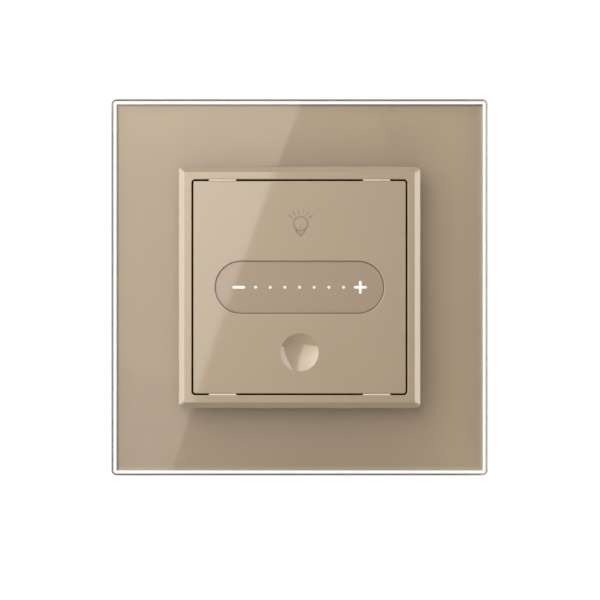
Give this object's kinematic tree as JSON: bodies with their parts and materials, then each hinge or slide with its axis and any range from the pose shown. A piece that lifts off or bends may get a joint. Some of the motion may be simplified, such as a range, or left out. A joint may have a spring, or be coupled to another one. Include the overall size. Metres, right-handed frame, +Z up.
{
  "type": "touch dimmer switch",
  "caption": "Square glass-framed wall dimmer with a lit touch slider strip, a touch dish, pull-off cover and frame, and a power insert with screw terminals and claws.",
  "frame": {"origin": "middle of the device on the wall surface, midway between the two box screw slots", "axes": "+Z up, +X to the right of someone facing it, +Y into the wall; the front faces -Y"},
  "size_m": [0.086, 0.036, 0.086],
  "materials": {
    "clear_glass": "polished, clear",
    "back_paint": "champagne paint on the back of the glass",
    "foam_tape": "double-sided foam tape",
    "carrier_plastic": "moulded, lightly grained",
    "satin_plastic": "champagne, satin metallic paint",
    "gloss_window": "champagne, smooth",
    "light_plastic": "milky light guide",
    "black_plastic": "moulded, matt",
    "amber_foil": "polyimide foil",
    "copper": "bare and enamelled copper",
    "circuit_board": "solder resist on glass-fibre board",
    "led_white": "moulded lens",
    "chip_black": "moulded package",
    "plated_wire": "plated spring wire",
    "gold_plate": "gold plated pins",
    "galvanised_steel": "zinc coated sheet",
    "zinc_screw": "bright zinc plate",
    "housing_plastic": "flame-retardant moulding",
    "bare_aluminium": "extruded",
    "ferrite": "sintered ferrite, coated",
    "capacitor_case": "box film capacitor",
    "capacitor_sleeve": "shrink sleeve",
    "fuse_case": "moulded fuse body",
    "varistor_coat": "dipped lacquer",
    "terminal_brass": "stamped brass",
    "terminal_steel": "zinc plated cage"
  },
  "bodies": {
    "insert": {"mounting_frame": "galvanised_steel", "frame_screws": "zinc_screw", "housing_lid": "housing_plastic", "housing_box": "housing_plastic", "power_board": "circuit_board", "header_socket": "black_plastic", "power_transistors": "chip_black", "heat_sink": "bare_aluminium", "choke_core": "ferrite", "choke_winding": "copper", "filter_capacitor": "capacitor_case", "supply_capacitor": "capacitor_sleeve", "fuse": "fuse_case", "varistor": "varistor_coat", "terminal_busbars": "terminal_brass", "claw_pin_left": "zinc_screw", "claw_pin_right": "zinc_screw"},
    "glass_frame": {"glass_panel": "clear_glass", "colour_film": "back_paint", "bonding_tape": "foam_tape", "glass_carrier": "carrier_plastic", "bezel_ring": "satin_plastic"},
    "cover": {"touch_cover": "satin_plastic", "slider_window": "gloss_window", "light_guide": "light_plastic", "light_baffle": "black_plastic", "slider_foil": "amber_foil", "slider_electrodes": "copper", "touch_board": "circuit_board", "marker_leds": "led_white", "touch_chip": "chip_black", "touch_spring": "plated_wire", "header_base": "black_plastic", "header_pins": "gold_plate"},
    "terminal_screw_1": {"terminal_screw_1": "zinc_screw"},
    "terminal_cage_1": {"terminal_cage_1": "terminal_steel"},
    "terminal_screw_2": {"terminal_screw_2": "zinc_screw"},
    "terminal_cage_2": {"terminal_cage_2": "terminal_steel"},
    "terminal_screw_3": {"terminal_screw_3": "zinc_screw"},
    "terminal_cage_3": {"terminal_cage_3": "terminal_steel"},
    "claw_screw_left": {"claw_screw_left": "zinc_screw"},
    "claw_left": {"claw_left": "galvanised_steel"},
    "claw_screw_right": {"claw_screw_right": "zinc_screw"},
    "claw_right": {"claw_right": "galvanised_steel"}
  },
  "joints": [
    {"name": "frame_pull", "type": "slide", "parent": "insert", "child": "glass_frame", "axis": [0, -1, 0], "range_m": [0, 0.02]},
    {"name": "cover_pull", "type": "slide", "parent": "glass_frame", "child": "cover", "axis": [0, -1, 0], "range_m": [0, 0.016]},
    {"name": "terminal_1_turn", "type": "hinge", "parent": "insert", "child": "terminal_screw_1", "pos_m": [-0.012, 0.0169, 0.02], "axis": [0, 0, -1], "range_deg": [0, 1440]},
    {"name": "terminal_1_clamp", "type": "slide", "parent": "insert", "child": "terminal_cage_1", "axis": [0, 0, 1], "range_m": [0, 0.0024]},
    {"name": "terminal_2_turn", "type": "hinge", "parent": "insert", "child": "terminal_screw_2", "pos_m": [0, 0.0169, 0.02], "axis": [0, 0, -1], "range_deg": [0, 1440]},
    {"name": "terminal_2_clamp", "type": "slide", "parent": "insert", "child": "terminal_cage_2", "axis": [0, 0, 1], "range_m": [0, 0.0024]},
    {"name": "terminal_3_turn", "type": "hinge", "parent": "insert", "child": "terminal_screw_3", "pos_m": [0.012, 0.0169, 0.02], "axis": [0, 0, -1], "range_deg": [0, 1440]},
    {"name": "terminal_3_clamp", "type": "slide", "parent": "insert", "child": "terminal_cage_3", "axis": [0, 0, 1], "range_m": [0, 0.0024]},
    {"name": "claw_left_turn", "type": "hinge", "parent": "insert", "child": "claw_screw_left", "pos_m": [-0.0304, 0, 0], "axis": [0, 1, 0], "range_deg": [0, 1257]},
    {"name": "claw_left_swing", "type": "hinge", "parent": "insert", "child": "claw_left", "pos_m": [-0.0254, 0.004, 0], "axis": [0, 0, 1], "range_deg": [0, 20]},
    {"name": "claw_right_turn", "type": "hinge", "parent": "insert", "child": "claw_screw_right", "pos_m": [0.0304, 0, 0], "axis": [0, 1, 0], "range_deg": [0, 1257]},
    {"name": "claw_right_swing", "type": "hinge", "parent": "insert", "child": "claw_right", "pos_m": [0.0254, 0.004, 0], "axis": [0, 0, -1], "range_deg": [0, 20]}
  ],
  "couplings": [
    {"joint": "terminal_1_turn", "follows": "terminal_1_clamp", "rad_per_m": 10472},
    {"joint": "terminal_2_turn", "follows": "terminal_2_clamp", "rad_per_m": 10472},
    {"joint": "terminal_3_turn", "follows": "terminal_3_clamp", "rad_per_m": 10472},
    {"joint": "claw_left_turn", "follows": "claw_left_swing", "ratio": 62.832},
    {"joint": "claw_right_turn", "follows": "claw_right_swing", "ratio": 62.832}
  ]
}
